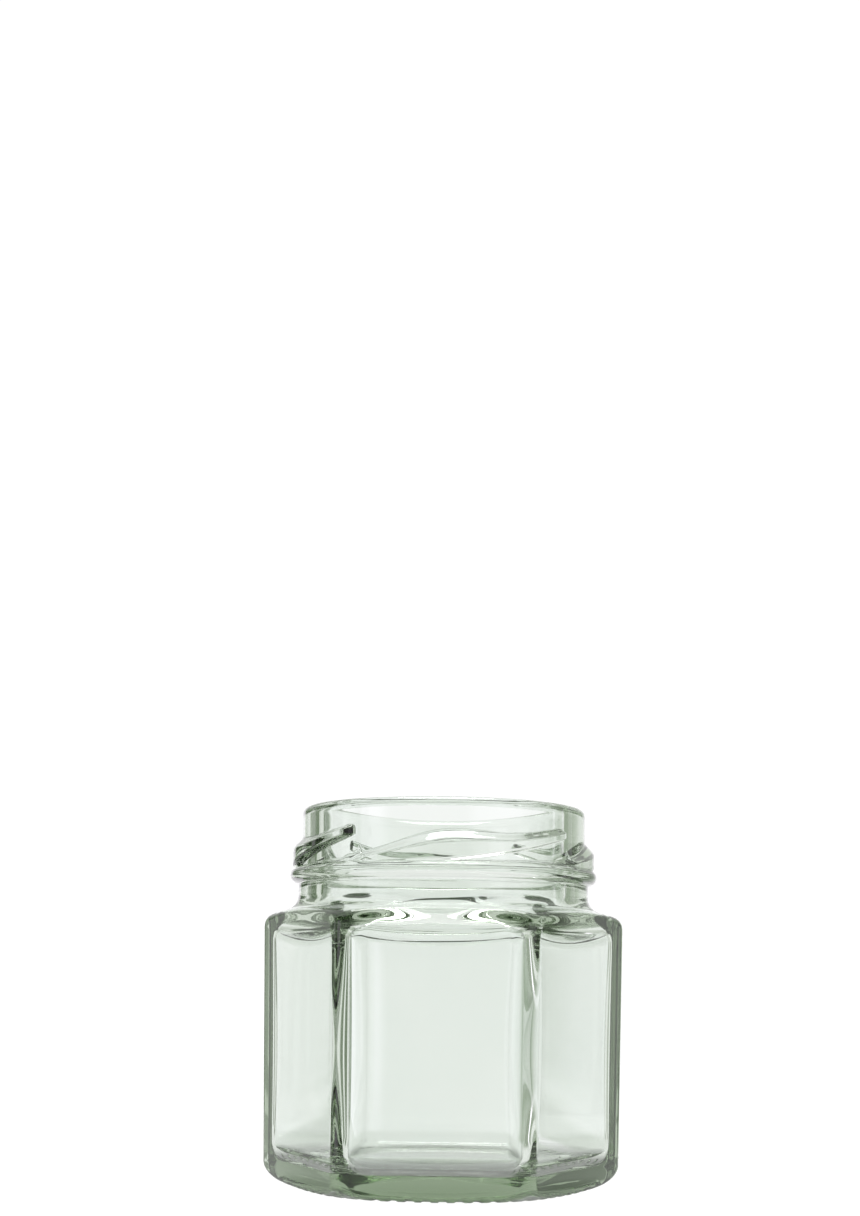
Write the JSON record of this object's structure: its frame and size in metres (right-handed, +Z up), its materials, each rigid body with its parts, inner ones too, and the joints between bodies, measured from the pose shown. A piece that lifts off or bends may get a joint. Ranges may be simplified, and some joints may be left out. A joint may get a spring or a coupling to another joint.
{
  "type": "hexagonal glass jar",
  "caption": "Small empty hexagonal jar of clear glass with flat panels, domed shoulder, round neck with raised twist-off thread lugs above a bead, and a knurled standing ring.",
  "frame": {"origin": "centre of the base on the surface that the jar stands on", "axes": "+Z up along the jar's axis; one flat panel faces -Y and two corners lie on the X axis"},
  "size_m": [0.0504, 0.0444, 0.0521],
  "materials": {
    "jar": "clear with a slight green tint, smooth and glossy"
  },
  "bodies": {
    "root": {"jar": "jar"}
  },
  "joints": []
}
